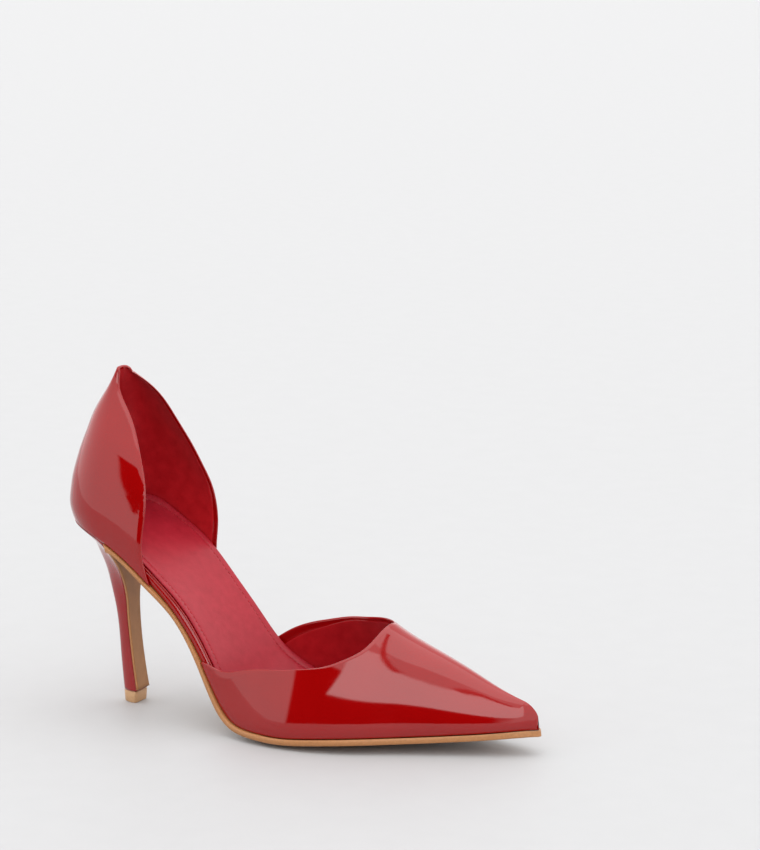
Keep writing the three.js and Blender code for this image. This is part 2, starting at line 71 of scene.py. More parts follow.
heelSizes = {"topPieceHeight": 0.0056, "tipDepth": 0.0091, "tipWidth": 0.0102,
             "setIn": 0.0208, "breast": 0.0263, "seatInset": 0.0007, "corner": 0.035,
             "aroundSteps": 48, "upSteps": 90, "breastSteps": 12, "topPieceTaper": 0.00035,
             "topPieceRounding": 0.0004, "topPieceTurn": 0.97, "topPieceFlat": 0.95,
             "topPieceSteps": 8}

# Section rows of the last: shares of the length, ball width, seat height and toe spring
lastColumns = ("lateral", "medial", "rise", "spring", "tilt", "crown", "sole", "cover")
lastRows = {
    0.000: (-0.376, 0.376, 1.000, 0.00, 0.000, 0.004, 0.0, 1.0),
    0.085: (-0.376, 0.376, 0.946, 0.00, 0.011, 0.008, 0.0, 1.0),
    0.160: (-0.388, 0.374, 0.851, 0.00, 0.037, 0.020, 0.0, 0.9),
    0.225: (-0.394, 0.340, 0.724, 0.00, 0.058, 0.030, 0.0, 0.8),
    0.280: (-0.400, 0.310, 0.580, 0.00, 0.055, 0.037, 0.0, 0.2),
    0.335: (-0.415, 0.294, 0.390, 0.00, 0.093, 0.044, 0.1, 0.6),
    0.390: (-0.455, 0.298, 0.184, 0.00, 0.141, 0.056, 0.4, 1.0),
    0.450: (-0.503, 0.335, 0.068, 0.00, 0.120, 0.073, 0.8, 1.0),
    0.490: (-0.530, 0.375, 0.027, 0.00, 0.082, 0.079, 1.0, 1.0),
    0.535: (-0.540, 0.420, -0.004, 0.00, 0.040, 0.075, 1.0, 1.0),
    0.600: (-0.520, 0.460, -0.006, 0.00, 0.007, 0.060, 1.0, 1.0),
    0.680: (-0.435, 0.458, 0.000, 0.09, -0.005, 0.047, 1.0, 1.0),
    0.770: (-0.280, 0.400, 0.000, 0.28, -0.003, 0.038, 1.0, 1.0),
    0.860: (-0.140, 0.320, 0.000, 0.51, -0.002, 0.030, 1.0, 1.0),
    0.920: (-0.045, 0.250, 0.000, 0.70, 0.000, 0.024, 1.0, 1.0),
    1.000: (0.095, 0.158, 0.000, 1.00, 0.000, 0.014, 1.0, 1.0),
}

# Ridge of the vamp over the same stations, and its topline from the outer corner (0) over the
# throat to the inner corner (1)
ridgeColumns = ("height", "side", "fullness")
ridgeRows = {
    0.33: (2.600, -0.030, 2.40),
    0.50: (2.081, -0.007, 1.50),
    0.60: (1.664, -0.011, 1.59),
    0.70: (1.061, 0.016, 1.72),
    0.78: (0.738, 0.043, 1.79),
    0.86: (0.456, 0.076, 1.78),
    0.93: (0.196, 0.099, 1.74),
    1.00: (0.000, 0.127, 1.55),
}
toplineRows = {
    0.00: (0.331, 0.000),
    0.06: (0.384, 0.599),
    0.12: (0.451, 0.630),
    0.18: (0.512, 0.658),
    0.25: (0.574, 0.691),
    0.32: (0.622, 0.734),
    0.39: (0.663, 0.812),
    0.45: (0.692, 0.938),
    0.50: (0.702, 1.024),
    0.56: (0.690, 1.010),
    0.62: (0.655, 0.993),
    0.69: (0.611, 0.957),
    0.76: (0.575, 0.937),
    0.82: (0.532, 0.903),
    0.88: (0.483, 0.855),
    0.94: (0.429, 0.773),
    1.00: (0.378, 0.000),
}

# Quarter from the sole (0) to its peak (1)
quarterColumns = ("back", "outerFront", "innerFront", "outerWidth", "innerWidth")
quarterRows = {
    0.00: (0.000, 0.222, 0.249, 1.00, 1.00),
    0.10: (-0.009, 0.211, 0.249, 1.03, 1.03),
    0.20: (-0.006, 0.208, 0.252, 1.04, 1.05),
    0.31: (0.000, 0.213, 0.249, 1.01, 1.05),
    0.40: (0.008, 0.215, 0.241, 0.96, 1.02),
    0.50: (0.018, 0.208, 0.224, 0.87, 0.96),
    0.60: (0.030, 0.192, 0.206, 0.75, 0.88),
    0.70: (0.041, 0.170, 0.187, 0.58, 0.76),
    0.80: (0.058, 0.142, 0.169, 0.41, 0.62),
    0.90: (0.078, 0.109, 0.147, 0.25, 0.43),
    1.00: (0.094, 0.100, 0.113, 0.14, 0.17),
}

# Heel from the top piece (0) to the seat (1)
heelColumns = ("back", "front", "width", "roundness")
heelRows = {
    0.00: (1.000, 1.00, 0.000, 2.1),
    0.08: (0.970, 0.72, -0.010, 2.1),
    0.20: (0.930, 0.36, -0.018, 2.1),
    0.35: (0.890, 0.00, -0.020, 2.1),
    0.48: (0.815, -0.20, -0.008, 2.0),
    0.60: (0.690, -0.25, 0.022, 1.8),
    0.70: (0.565, -0.25, 0.135, 1.5),
    0.80: (0.360, -0.20, 0.350, 1.3),
    0.88: (0.200, -0.10, 0.620, 1.3),
    0.94: (0.080, -0.05, 0.830, 1.6),
    1.00: (0.000, 0.00, 1.000, 2.1),
}


def smoothCurve(xs, ys):
    # Natural spline through the points, straight on past both ends
    xs, ys = np.array(xs, float), np.array(ys, float)
    steps = np.diff(xs)
    slopes = np.diff(ys) / steps
    count = len(xs)
    system = np.eye(count)
    right = np.zeros(count)
    for i in range(1, count - 1):
        system[i, i - 1:i + 2] = steps[i - 1], 2 * (steps[i - 1] + steps[i]), steps[i]
        right[i] = 6 * (slopes[i] - slopes[i - 1])
    bend = np.linalg.solve(system, right)

    def at(x):
        x = np.asarray(x, float)
        i = np.clip(np.searchsorted(xs, x, side="right") - 1, 0, count - 2)
        span = steps[i]
        t = (np.clip(x, xs[0], xs[-1]) - xs[i]) / span
        s = 1 - t
        inside = s * ys[i] + t * ys[i + 1] + span ** 2 / 6 * (
            (s ** 3 - s) * bend[i] + (t ** 3 - t) * bend[i + 1])
        before = slopes[0] - steps[0] * bend[1] / 6
        after = slopes[-1] + steps[-1] * bend[-2] / 6
        return inside + np.minimum(x - xs[0], 0) * before + np.maximum(x - xs[-1], 0) * after

    return at


def curvesOf(rows, columns):
    places = list(rows)
    return {name: smoothCurve(places, [rows[place][k] for place in places])
            for k, name in enumerate(columns)}


last = curvesOf(lastRows, lastColumns)
ridge = curvesOf(ridgeRows, ridgeColumns)
quarter = curvesOf(quarterRows, quarterColumns)
heel = curvesOf(heelRows, heelColumns)

length = lastSizes["length"]
ballWidth = lastSizes["ballWidth"]
gap = lastSizes["gap"]
upperReach = gap + vampSizes["wall"]


def mix(a, b, share):
    return a + (b - a) * share


def power(value, exponent):
    return np.maximum(value, 0) ** exponent


def smoothStep(value, low, high):
    share = np.clip((value - low) / (high - low), 0, 1)
    return share * share * (3 - 2 * share)


def roundedEnd(distance, roundness):
    # Half of an arc: 0 at the end of a piece, 1 once the rounding is over
    short = 1 - np.clip(distance / roundness, 0, 1)
    return np.sqrt(1 - short * short)


def points(x, y, z):
    return np.stack(np.broadcast_arrays(x, y, z), axis=-1)


def unit(vectors):
    return vectors / np.maximum(np.linalg.norm(vectors, axis=-1, keepdims=True), 1e-12)


# The last: outline, underside and levels above it
def outlineY(x, across, reach):
    # y at a share across (-1 outer side, 1 inner side) of the outline grown by reach
    station = np.clip(x / length, 0, 1)
    outer = ballWidth * last["lateral"](station) - reach
    inner = ballWidth * last["medial"](station) + reach
    roundness = (roundedEnd(x - lastSizes["seatSetIn"] + reach, lastSizes["backRoundness"] + reach)
                 * roundedEnd(length + reach - x, lastSizes["toeRoundness"] + reach))
    return (inner + outer) / 2 + across * roundness * (inner - outer) / 2


def bottomZ(x, y):
    station = x / length
    held = np.clip(station, 0, 1)
    middle = ballWidth * (last["medial"](held) + last["lateral"](held)) / 2
    half = ballWidth * (last["medial"](held) - last["lateral"](held)) / 2 + upperReach
    across = (y - middle) / half
    return (lastSizes["seatHeight"] * last["rise"](station)
            + lastSizes["toeSpring"] * last["spring"](station)
            + ballWidth * (last["tilt"](held) * across + last["crown"](held) * across ** 2))


def levelPoint(x, y, height):
    # Point at a height over the underside, measured square to its slope along the shoe
    step = searchSizes["slopeStep"]
    slope = (bottomZ(x + step, y) - bottomZ(x - step, y)) / (2 * step)
    slant = np.hypot(1, slope)
    return points(x - height * slope / slant, y, bottomZ(x, y) + height / slant)


def levelZ(x, y, height):
    # Height of such a level over a place of the plan
    at = x
    for _ in range(searchSizes["levelTries"]):
        point = levelPoint(at, y, height)
        at = at + x - point[..., 0]
    return point[..., 2]


def soleThickness(x):
    return mix(soleSizes["waist"], soleSizes["ball"],
               np.clip(last["sole"](np.clip(x / length, 0, 1)), 0, 1))


def coverAt(x):
    return np.clip(last["cover"](np.clip(x / length, 0, 1)), 0, 1)


def soleReach(x):
    return soleSizes["ledge"] + upperReach * coverAt(x)


# Meshes: a flat grid is laid on the shoe, its seam welded and its open borders bridged
weldSizes = {"double": 0.000002, "degenerate": 0.000001}


def laidGrid(columns, rows, pointsAt, slotAt):
    mesh = bmesh.new()
    bmesh.ops.create_grid(mesh, x_segments=columns, y_segments=rows, size=0.5)
    columnOf = mesh.verts.layers.int.new("column")
    rowOf = mesh.verts.layers.int.new("row")
    for face in mesh.faces:
        middle = face.calc_center_median()
        face.material_index = slotAt((middle.x + 0.5) * columns, (middle.y + 0.5) * rows)
        face.smooth = True
    flat = np.array([vert.co[:2] for vert in mesh.verts]) + 0.5
    i = np.rint(flat[:, 0] * columns).astype(int)
    j = np.rint(flat[:, 1] * rows).astype(int)
    laid = pointsAt(i, j) - np.array([lastSizes["originX"], 0, 0])
    for k, vert in enumerate(mesh.verts):
        vert.co = laid[k]
        vert[columnOf] = int(i[k])
        vert[rowOf] = int(j[k])
    bmesh.ops.remove_doubles(mesh, verts=mesh.verts, dist=weldSizes["double"])
    bmesh.ops.dissolve_degenerate(mesh, edges=mesh.edges, dist=weldSizes["degenerate"])
    return mesh


def bridge(mesh, chooses):
    # Bridges the two open borders that the two tests choose
    edges = [edge for edge in mesh.edges if edge.is_boundary]
    chains = [[edge for edge in edges if all(choose(vert) for vert in edge.verts)]
              for choose in chooses]
    made = bmesh.ops.bridge_loops(mesh, edges=chains[0] + chains[1])
    for face in made["faces"]:
        face.smooth = True


def finishPiece(mesh, name, materials, replaced=()):
    openEdges = [edge for edge in mesh.edges if edge.is_boundary]
    if openEdges:
        bmesh.ops.holes_fill(mesh, edges=openEdges, sides=0)
    bmesh.ops.recalc_face_normals(mesh, faces=mesh.faces)
    data = bpy.data.meshes.new(name)
    mesh.to_mesh(data)
    mesh.free()
    piece = bpy.data.objects.new(name, data)
    bpy.context.scene.collection.objects.link(piece)
    for material in materials:
        data.materials.append(material)
    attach(piece, "root")
    if replaced:
        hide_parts(*replaced)
    print("piece:", name, len(data.polygons), "faces")
    return piece


# Node helpers
def newMaterial(name):
    material = bpy.data.materials.new(name)
    material.use_nodes = True
    nodes = material.node_tree.nodes
    return material, nodes, material.node_tree.links, nodes["Principled BSDF"]


def newGroup(name, inputs, outputs):
    group = bpy.data.node_groups.new(name, "ShaderNodeTree")
    for label, kind, value in inputs:
        socket = group.interface.new_socket(label, in_out="INPUT", socket_type=kind)
        if value is not None:
            socket.default_value = value
    for label, kind in outputs:
        group.interface.new_socket(label, in_out="OUTPUT", socket_type=kind)
    nodes = group.nodes
    return group, nodes, group.links, nodes.new("NodeGroupInput"), nodes.new("NodeGroupOutput")


def mathNode(nodes, links, operation, *values, clamped=False):
    node = nodes.new("ShaderNodeMath")
    node.operation = operation
    node.use_clamp = clamped
    for k, value in enumerate(values):
        if hasattr(value, "is_linked"):
            links.new(value, node.inputs[k])
        else:
            node.inputs[k].default_value = value
    return node.outputs[0]


def makeRipple():
    # Slight waviness and orange peel of a coated surface, as a height from 0 to 1
    group, nodes, links, given, out = newGroup(
        "surfaceRipple",
        [("Vector", "NodeSocketVector", None), ("Wave size", "NodeSocketFloat", 45.0),
         ("Peel size", "NodeSocketFloat", 900.0), ("Peel share", "NodeSocketFloat", 0.15)],
        [("Height", "NodeSocketFloat")])
    wave = nodes.new("ShaderNodeTexNoise")
    wave.inputs["Detail"].default_value = 2
    peel = nodes.new("ShaderNodeTexNoise")
    peel.inputs["Detail"].default_value = 1
    for node, size in ((wave, "Wave size"), (peel, "Peel size")):
        links.new(given.outputs["Vector"], node.inputs["Vector"])
        links.new(given.outputs[size], node.inputs["Scale"])
    fine = mathNode(nodes, links, "MULTIPLY", peel.outputs[0], given.outputs["Peel share"])
    links.new(mathNode(nodes, links, "ADD", wave.outputs[0], fine), out.inputs["Height"])
    return group


def makeGrain():
    # Leather grain: small cells with fine wrinkles between them
    group, nodes, links, given, out = newGroup(
        "leatherGrain",
        [("Vector", "NodeSocketVector", None), ("Cell size", "NodeSocketFloat", 1400.0),
         ("Wrinkle size", "NodeSocketFloat", 260.0)],
        [("Height", "NodeSocketFloat"), ("Mottle", "NodeSocketFloat")])
    cells = nodes.new("ShaderNodeTexVoronoi")
    wrinkles = nodes.new("ShaderNodeTexNoise")
    wrinkles.inputs["Detail"].default_value = 5
    wrinkles.inputs["Roughness"].default_value = 0.6
    for node, size in ((cells, "Cell size"), (wrinkles, "Wrinkle size")):
        links.new(given.outputs["Vector"], node.inputs["Vector"])
        links.new(given.outputs[size], node.inputs["Scale"])
    low = mathNode(nodes, links, "MULTIPLY", cells.outputs["Distance"], 0.5)
    links.new(mathNode(nodes, links, "ADD", low, wrinkles.outputs[0]), out.inputs["Height"])
    links.new(wrinkles.outputs[0], out.inputs["Mottle"])
    return group


ripple = makeRipple()
grain = makeGrain()


def placeGroup(nodes, links, group, values):
    node = nodes.new("ShaderNodeGroup")
    node.node_tree = group
    coordinates = nodes.new("ShaderNodeTexCoord")
    links.new(coordinates.outputs["Object"], node.inputs["Vector"])
    for name, value in values.items():
        node.inputs[name].default_value = value
    return node


def bumpFrom(nodes, links, height, distance, strength=1.0):
    bump = nodes.new("ShaderNodeBump")
    bump.inputs["Distance"].default_value = distance
    bump.inputs["Strength"].default_value = strength
    links.new(height, bump.inputs["Height"])
    return bump.outputs["Normal"]


def colourBetween(nodes, links, share, low, high, dark, light):
    spread = nodes.new("ShaderNodeMapRange")
    spread.inputs["From Min"].default_value = low
    spread.inputs["From Max"].default_value = high
    links.new(share, spread.inputs["Value"])
    colour = nodes.new("ShaderNodeMix")
    colour.data_type = "RGBA"
    links.new(spread.outputs[0], colour.inputs["Factor"])
    colour.inputs["A"].default_value = (*dark, 1)
    colour.inputs["B"].default_value = (*light, 1)
    return colour.outputs["Result"]


patentLooks = {"dark": (0.27, 0.0003, 0.0005), "light": (0.30, 0.0006, 0.0009), "roughness": 0.05,
               "waveDepth": 0.00004, "peelShare": 0.05, "ior": 1.55}
liningLooks = {"dark": (0.38, 0.004, 0.008), "light": (0.48, 0.010, 0.016), "roughness": 0.33}
sockLooks = {"dark": (0.30, 0.008, 0.018), "light": (0.36, 0.013, 0.026), "roughness": 0.38}
soleEdgeLooks = {"dark": (0.36, 0.15, 0.05), "light": (0.46, 0.20, 0.072), "roughness": 0.38}
soleLooks = {"dark": (0.30, 0.13, 0.04), "light": (0.38, 0.17, 0.055), "roughness": 0.5}
rubberLooks = {"dark": (0.48, 0.27, 0.13), "light": (0.55, 0.32, 0.16), "roughness": 0.5}
threadLooks = {"dark": (0.30, 0.004, 0.010), "light": (0.42, 0.010, 0.018), "roughness": 0.5}
floorLooks = {"dark": (0.455, 0.455, 0.46), "light": (0.465, 0.465, 0.47), "roughness": 0.6}


def patentMaterial():
    material, nodes, links, shader = newMaterial("patent")
    node = placeGroup(nodes, links, ripple, {"Peel share": patentLooks["peelShare"]})
    links.new(colourBetween(nodes, links, node.outputs["Height"], 0.3, 0.8,
                            patentLooks["dark"], patentLooks["light"]), shader.inputs["Base Color"])
    links.new(bumpFrom(nodes, links, node.outputs["Height"], patentLooks["waveDepth"]),
              shader.inputs["Normal"])
    shader.inputs["Roughness"].default_value = patentLooks["roughness"]
    shader.inputs["IOR"].default_value = patentLooks["ior"]
    return material


def leatherMaterial(name, looks, cell, wrinkle, depth, sheen=0.0, gloss=0.5):
    material, nodes, links, shader = newMaterial(name)
    node = placeGroup(nodes, links, grain, {"Cell size": cell, "Wrinkle size": wrinkle})
    links.new(colourBetween(nodes, links, node.outputs["Mottle"], 0.3, 0.7,
                            looks["dark"], looks["light"]), shader.inputs["Base Color"])
    links.new(bumpFrom(nodes, links, node.outputs["Height"], depth), shader.inputs["Normal"])
    shader.inputs["Roughness"].default_value = looks["roughness"]
    shader.inputs["Sheen Weight"].default_value = sheen
    shader.inputs["Specular IOR Level"].default_value = gloss
    return material


patent = patentMaterial()
lining = leatherMaterial("lining", liningLooks, 1500.0, 200.0, 0.00006, 0.05, 0.4)
sockLeather = leatherMaterial("sockLeather", sockLooks, 1700.0, 240.0, 0.00005, 0.0, 0.3)
soleEdge = leatherMaterial("soleEdge", soleEdgeLooks, 2500.0, 900.0, 0.00003)
soleLeather = leatherMaterial("soleLeather", soleLooks, 1200.0, 120.0, 0.00005)
rubber = leatherMaterial("rubber", rubberLooks, 2200.0, 500.0, 0.00004)
thread = leatherMaterial("thread", threadLooks, 4000.0, 2000.0, 0.00003)


# Vamp
def archPoint(x, turn, inset):
    # Point of the vamp's arch, turn from 0 (outer side of the sole) to pi (inner side)
    reach = upperReach - inset
    station = np.clip(x / length, 0, 1)
    level = soleThickness(x) + gap
    outer = levelPoint(x, outlineY(x, -1, reach), level)
    inner = levelPoint(x, outlineY(x, 1, reach), level)
    roundness = roundedEnd(length + reach - x, lastSizes["toeRoundness"] + reach)
    ridgeY = mix((outer[..., 1] + inner[..., 1]) / 2, ballWidth * ridge["side"](station), roundness)
    ridgeZ = mix(vampSizes["toeHeight"], vampSizes["throatHeight"], ridge["height"](station)) - inset
    baseZ = mix(outer[..., 2], inner[..., 2], 0.5 - np.cos(turn) / 2)
    exponent = 2 / ridge["fullness"](station)
    spread = power(np.abs(np.cos(turn)), exponent)
    climb = power(np.sin(turn), exponent)
    outerSide = turn < np.pi / 2
    edgeX = np.where(outerSide, outer[..., 0], inner[..., 0])
    edgeY = np.where(outerSide, outer[..., 1], inner[..., 1])
    foot = mix((outer[..., 0] + inner[..., 0]) / 2, edgeX, spread)
    rise = ridgeZ - (outer[..., 2] + inner[..., 2]) / 2
    return points(mix(foot, x, climb * roundness), mix(ridgeY, edgeY, spread),
                  baseZ + power(roundness, lastSizes["toeBluntness"]) * climb * rise)


def turnAtHeight(x, height, outerSide):
    # Turn of the arch at which its outside reaches the height
    low, high = 0.0, np.pi / 2
    for _ in range(searchSizes["turnTries"]):
        middle = (low + high) / 2
        turn = middle if outerSide else np.pi - middle
        if archPoint(np.array(x), np.array(turn), 0)[2] < height:
            low = middle
        else:
            high = middle
    return low if outerSide else np.pi - low


def toplineTurns():
    # The middle row lies on the ridge, and the others where the arch has their height
    turns = []
    for across, (station, height) in toplineRows.items():
        turn = across * np.pi
        if height > 0 and across != 0.5:
            turn = turnAtHeight(station * length, height * vampSizes["throatHeight"], across < 0.5)
        turns.append(turn)
    return turns


toplineStation = smoothCurve(list(toplineRows), [row[0] for row in toplineRows.values()])
toplineTurn = smoothCurve(list(toplineRows), toplineTurns())


def vampPoint(along, across, inset):
    start = toplineStation(across) * length
    end = length + upperReach - inset
    x = mix(start, end, mix(along, np.sin(along * np.pi / 2), vampSizes["easing"]))
    settle = smoothStep(along, 0, vampSizes["settle"])
    turn = mix(toplineTurn(across), across * np.pi, settle)
    laid = archPoint(x, turn, inset)
    # The wall tucks in above the sole
    side = np.where(across < 0.5, -1.0, 1.0)
    foot = archPoint(x, np.where(side < 0, 0.0, np.pi), inset)
    height = np.clip((laid[..., 2] - foot[..., 2]) / vampSizes["tuckHeight"], 0, 1)
    laid[..., 1] -= side * vampSizes["tuck"] * (1 - height) ** 2
    return laid


def edgeRows(distances, span, steps):
    # Shares from an edge (0) to the far end (1): the given distances first, then even steps
    near = np.array(distances) / span
    rest = np.linspace(near[-1], 1, steps - len(near) + 2)[1:]
    return np.concatenate([near, rest])


def nearEdge(fold):
    # Distances from an edge of the upper at which rows lie close together, round the lining's start
    return [edgeSizes["first"], 0.001, 0.0015, fold, fold + 0.0002, fold + 0.0005, 0.0035, 0.005]


def foldInset(sizes, distance):
    # How far the patent's fold stands over the lining on the inside
    return sizes["foldStep"] * (1 - smoothStep(distance, sizes["foldWidth"],
                                               sizes["foldWidth"] + edgeSizes["foldRun"]))


def buildVamp():
    s = vampSizes
    wall = s["wall"]
    along, rim = s["alongSteps"], s["rimSteps"]
    span = s["girth"]
    shares = edgeRows(nearEdge(s["foldWidth"]), span, along)
    edge = shares[0]
    rows = 2 * along + rim

    def pointsAt(i, j):
        across = i / s["acrossSteps"]
        outside = j <= along
        share = np.where(outside, shares[np.clip(along - j, 0, along)],
                         shares[np.clip(j - along - rim, 0, along)])
        distance = share * span
        roll = s["rimRoll"] * (1 - smoothStep(distance, edgeSizes["first"], s["rollWidth"]))
        inset = np.where(outside, roll, wall - foldInset(s, distance))
        laid = vampPoint(share, across, inset)
        onRim = (j > along) & (j < along + rim)
        outer = vampPoint(edge, across, s["rimRoll"])
        inner = vampPoint(edge, across, wall - foldInset(s, edge * span))
        forward = unit(vampPoint(edge, across, wall / 2)
                       - vampPoint(edge + edgeSizes["lookBack"], across, wall / 2))
        middle = (outer + inner) / 2
        angle = ((j - along) / rim * np.pi)[:, None]
        radius = np.linalg.norm(outer - inner, axis=-1, keepdims=True) / 2
        curled = middle + (outer - middle) * np.cos(angle) + forward * radius * np.sin(angle)
        return np.where(onRim[:, None], curled, laid)

    def slotAt(i, j):
        if j <= along + rim:
            return 0
        return 1 if shares[int(j - along - rim)] * span > s["foldWidth"] + edgeSizes["liningStart"] else 0

    mesh = laidGrid(s["acrossSteps"], rows, pointsAt, slotAt)
    rowOf = mesh.verts.layers.int["row"]
    bridge(mesh, [lambda vert: vert[rowOf] <= along, lambda vert: vert[rowOf] >= along + rim])
    return finishPiece(mesh, "vamp", [patent, lining], ["upper_vamp"])


# Quarter
def quarterPoint(around, up, inset):
    # around goes from -1 (outer front edge) over 0 (back) to 1 (inner front edge)
    reach = upperReach - inset
    forward = 1 - np.cos(np.abs(around) * np.pi / 2)
    outerSide = around < 0
    side = np.where(outerSide, -1, 1)
    soleFront = length * np.where(outerSide, quarterRows[0][1], quarterRows[0][2])
    front = length * np.where(outerSide, quarter["outerFront"](up), quarter["innerFront"](up))
    widen = np.where(outerSide, quarter["outerWidth"](up), quarter["innerWidth"](up))
    soleX = mix(lastSizes["seatSetIn"] - reach, soleFront, forward)
    foot = levelPoint(soleX, outlineY(soleX, side, reach), soleThickness(soleX) + gap)
    frontY = np.abs(outlineY(soleFront, side, upperReach))
    thinner = (1 - widen) * inset / (frontY - inset)
    back = lastSizes["seatSetIn"] + length * quarter["back"](up) - reach
    x = mix(back, front, forward) + (foot[..., 0] - soleX) * (1 - up)
    # The front corners of the peak lie lower than its middle
    rounded = quarterSizes["peakRounding"] * np.abs(around) ** 3 * up ** 12
    return points(x, foot[..., 1] * (widen - thinner),
                  mix(foot[..., 2], quarterSizes["peakHeight"], up) - rounded)


# Soft troughs (depth over 0) and ridges of the quarter, from one point to another in side view,
# in metres from the last's back and the floor; side is -1 outside, 1 inside
quarterCreases = [
    {"start": (0.0455, 0.105), "end": (0.0500, 0.1065), "width": 0.0009, "depth": 0.00016, "side": -1},
    {"start": (0.0460, 0.1025), "end": (0.0502, 0.1035), "width": 0.0008, "depth": 0.00016, "side": -1},
    {"start": (0.0465, 0.1000), "end": (0.0500, 0.1008), "width": 0.0008, "depth": 0.00014, "side": -1},
    {"start": (0.0225, 0.1585), "end": (0.0235, 0.1545), "width": 0.0008, "depth": 0.0002, "side": -1},
    {"start": (0.0240, 0.1590), "end": (0.0260, 0.1560), "width": 0.0006, "depth": 0.00015, "side": -1},
]


def creaseDepth(laid, creases):
    depth = np.zeros(len(laid))
    for crease in creases:
        start, end = np.array(crease["start"]), np.array(crease["end"])
        run = end - start
        flat = laid[:, [0, 2]] - start
        share = np.clip(flat @ run / (run @ run), 0, 1)
        away = np.linalg.norm(flat - share[:, None] * run, axis=1)
        onSide = np.sign(laid[:, 1]) == crease["side"]
        depth += onSide * crease["depth"] * np.exp(-(away / crease["width"]) ** 2)
    return depth


def buildQuarter():
    s = quarterSizes
    wall = s["wall"]
    side, rim, ups, cap = s["sideSteps"], s["rimSteps"], s["upSteps"], s["capSteps"]
    face = 2 * side
    columns = 2 * face + 2 * rim
    samples = np.linspace(0, 1, s["girthSamples"])
    footUps = [0, 0.003, 0.007, 0.013]
    upOf = np.concatenate([footUps, np.linspace(s["footUp"], 1, ups + 1 - len(footUps))])
    # Half girth of each row, outer side and inner side, for columns at real distances from the edge
    girth = {}
    for sign in (-1, 1):
        lines = quarterPoint(sign * samples[None, :] + 0 * upOf[:, None], upOf[:, None], 0.0)
        girth[sign] = np.linalg.norm(np.diff(lines, axis=1), axis=2).sum(axis=1)
    near = np.array(nearEdge(s["foldWidth"]))

    def aroundAt(number, row, sign):
        # number counts the columns from the front edge (0) to the back (side)
        span = girth[sign][row]
        squeeze = np.minimum(1, span / s["shortGirth"])
        zone = near[-1] * squeeze / span
        close = near[np.clip(number, 0, len(near) - 1)] * squeeze / span
        rest = mix(zone, 1, (number - len(near) + 1) / (side - len(near) + 1))
        return 1 - np.where(number < len(near), close, rest)

    def insets(distance, up):
        roll = s["rimRoll"] * (1 - np.clip(distance / s["rollWidth"], 0, 1)) ** 2
        footRoll = s["footRoll"] * (1 - smoothStep(up, 0, s["footUp"])) ** 2
        return roll + footRoll, wall - foldInset(s, distance)

    def pointsAt(i, j):
        row = np.clip(j, 0, ups)
        up = upOf[row]
        capAngle = np.clip(j - ups, 0, cap) / cap * np.pi / 2
        outside = i <= face
        inside = (i >= face + rim) & (i <= 2 * face + rim)
        place = np.where(outside, i, np.where(inside, 2 * face + rim - i, 0))
        place = np.where((i > face) & (i < face + rim), face, place)
        sign = np.where(place <= side, -1, 1)
        number = np.where(place <= side, place, face - place)
        around = np.where(sign < 0, -aroundAt(number, row, -1), aroundAt(number, row, 1))
        span = np.where(sign < 0, girth[-1][row], girth[1][row])
        distance = (1 - np.abs(around)) * span
        outerInset, innerInset = insets(distance, up)
        centre = (outerInset + innerInset) / 2
        half = (innerInset - outerInset) / 2 * np.cos(capAngle)
        lift = points(0, 0, wall / 2 * np.sin(capAngle))
        outer = quarterPoint(around, up, centre - half)
        inner = quarterPoint(around, up, centre + half)
        laid = np.where(outside[:, None], outer, inner)
        crease = creaseDepth(laid, quarterCreases) * outside
        laid[:, 1] -= np.sign(laid[:, 1]) * crease
        behind = 1 - s["lookBack"]
        ahead = unit(quarterPoint(around, up, centre) - quarterPoint(around * behind, up, centre))
        middle = (outer + inner) / 2
        radius = np.linalg.norm(outer - inner, axis=-1, keepdims=True) / 2
        turned = np.where(i < 2 * face + rim, (i - face) / rim, 1 - (i - 2 * face - rim) / rim)
        angle = (np.clip(turned, 0, 1) * np.pi)[:, None]
        curled = middle + (outer - middle) * np.cos(angle) + ahead * radius * np.sin(angle)
        return np.where((outside | inside)[:, None], laid, curled) + lift

    def slotAt(i, j):
        if not face + rim < i < 2 * face + rim or j > ups:
            return 0
        place = int(2 * face + rim - i)
        number = min(place, face - 1 - place)
        edge = near[min(number, len(near) - 1)]
        inLining = edge > s["foldWidth"] + edgeSizes["liningStart"]
        return 1 if inLining and upOf[int(j)] < s["liningTop"] else 0

    mesh = laidGrid(columns, ups + cap, pointsAt, slotAt)
    columnOf, rowOf = mesh.verts.layers.int["column"], mesh.verts.layers.int["row"]
    bridge(mesh, [lambda vert: vert[rowOf] == 0 and vert[columnOf] <= face,
                  lambda vert: vert[rowOf] == 0 and face + rim <= vert[columnOf] <= 2 * face + rim])
    return finishPiece(mesh, "quarter", [patent, lining], ["upper_quarter"])


# Insole board and sock: rings that follow the outline, with the edge's section in a table
def boardThickness(x):
    s = boardSizes
    return mix(s["seat"], s["toe"], smoothStep(x / length, s["thinFrom"], s["thinTo"]))


def boardInset(x):
    s = boardSizes
    return s["toeInset"] * smoothStep(x / length, s["insetFrom"], s["insetTo"])


def boardBottom(x):
    return soleThickness(x) + gap


def sockBottom(x):
    return boardBottom(x) + boardThickness(x) + gap


def cupHeight(x, y):
    # The sock curls up along the wall of the seat and lies flat from cupEnd on
    held = np.clip(x, lastSizes["backRoundness"], length)
    half = np.abs(outlineY(held, 1, 0) - outlineY(held, 0, 0))
    out = np.hypot(y, np.minimum(x - lastSizes["backRoundness"], 0)) / half
    fade = 1 - smoothStep(x, 0.5 * sockSizes["cupEnd"], sockSizes["cupEnd"])
    return sockSizes["cup"] * fade * smoothStep(out, sockSizes["cupFrom"], 1.1) ** 2


